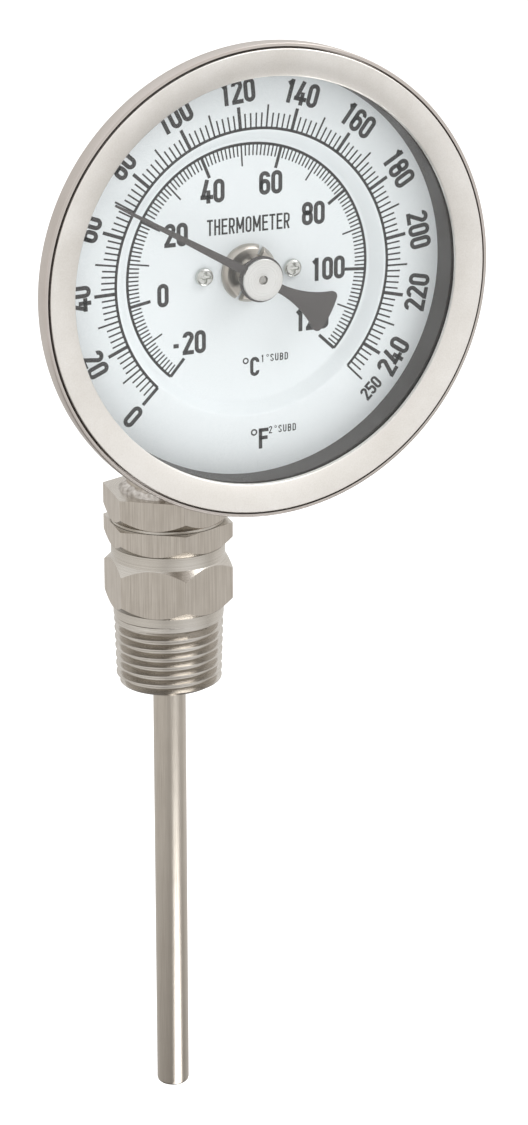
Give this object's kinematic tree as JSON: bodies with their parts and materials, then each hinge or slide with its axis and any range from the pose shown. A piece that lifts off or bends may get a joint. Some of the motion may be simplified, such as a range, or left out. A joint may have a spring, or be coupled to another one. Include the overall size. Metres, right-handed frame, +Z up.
{
  "type": "bimetal dial thermometer",
  "caption": "Bimetal dial thermometer with a round glazed case on an elbow, a swivelling union with a tapered pipe thread, and a straight probe stem.",
  "frame": {"origin": "on the stem axis at the underside of the process fitting's hexagon, where it faces the vessel", "axes": "+Z up the stem axis from the vessel to the head; the dial looks towards -Y; +X is to the right of someone who reads the dial"},
  "size_m": [0.084, 0.0614, 0.2178],
  "materials": {
    "machined_stainless": "machined 304 stainless bar, fine turned and milled lines",
    "drawn_stainless": "drawn 304 stainless tube, fine lengthwise grain",
    "pressed_stainless": "pressed 304 stainless sheet, bead blasted and lightly brushed",
    "weld_bead": "raw TIG weld",
    "window_glass": "clear flat instrument glass",
    "black_rubber": "nitrile rubber",
    "seal_plastic": "PTFE",
    "dark_spacer": "dark painted steel strip",
    "dial_enamel": "matte white enamel on aluminium, grey screen printed scale",
    "plated_screw": "nickel plated steel",
    "plated_bushing": "nickel plated brass",
    "bearing_bronze": "sintered bronze",
    "bimetal_strip": "rolled bimetal strip",
    "spring_wire": "ground stainless wire",
    "pointer_paint": "matte dark grey enamel on aluminium",
    "hub_metal": "turned aluminium, fine radial sheen"
  },
  "bodies": {
    "fitting": {"process_fitting": "machined_stainless", "stem_seal": "black_rubber", "thrust_washer": "seal_plastic"},
    "nut": {"union_nut": "machined_stainless"},
    "head": {"neck_hex": "machined_stainless", "swivel_sleeve": "machined_stainless", "neck_weld": "weld_bead", "elbow_tube": "drawn_stainless", "case_weld": "weld_bead", "case_pan": "pressed_stainless", "bezel_ring": "pressed_stainless", "window_glass": "window_glass", "window_gasket": "black_rubber", "spacer_ring": "dark_spacer", "dial_plate": "dial_enamel", "dial_standoffs": "drawn_stainless", "dial_screws": "plated_screw", "center_bushing": "plated_bushing", "front_bearing": "bearing_bronze", "rear_bearing": "bearing_bronze", "stem_tube": "drawn_stainless", "helix_anchor": "drawn_stainless", "bimetal_helix": "bimetal_strip", "guide_bush_lower": "seal_plastic", "guide_bush_upper": "seal_plastic", "flexible_coupling": "spring_wire"},
    "pointer": {"pointer": "pointer_paint", "pointer_hub": "hub_metal", "pointer_spindle": "spring_wire", "spindle_clip": "spring_wire", "spindle_sleeve": "bearing_bronze"},
    "drive": {"drive_shaft": "spring_wire", "helix_collar": "bearing_bronze", "shaft_sleeve": "bearing_bronze"}
  },
  "joints": [
    {"name": "head_swivel", "type": "hinge", "parent": "fitting", "child": "head", "pos_m": [0, 0, 0.01699], "axis": [0, 0, 1], "continuous": true},
    {"name": "nut_turn", "type": "hinge", "parent": "fitting", "child": "nut", "pos_m": [0, 0, 0.01233], "axis": [0, 0, 1], "range_deg": [0, 90]},
    {"name": "pointer_turn", "type": "hinge", "parent": "head", "child": "pointer", "pos_m": [0, -0.0448, 0.0734], "axis": [0, 1, 0], "range_deg": [-76.7, 197.3], "stiffness_Nm_per_rad": 0.0008},
    {"name": "shaft_turn", "type": "hinge", "parent": "head", "child": "drive", "pos_m": [0, 0, 0], "axis": [0, 0, 1], "range_deg": [-197.3, 76.7]}
  ],
  "couplings": [
    {"joint": "shaft_turn", "follows": "pointer_turn", "ratio": -1}
  ]
}
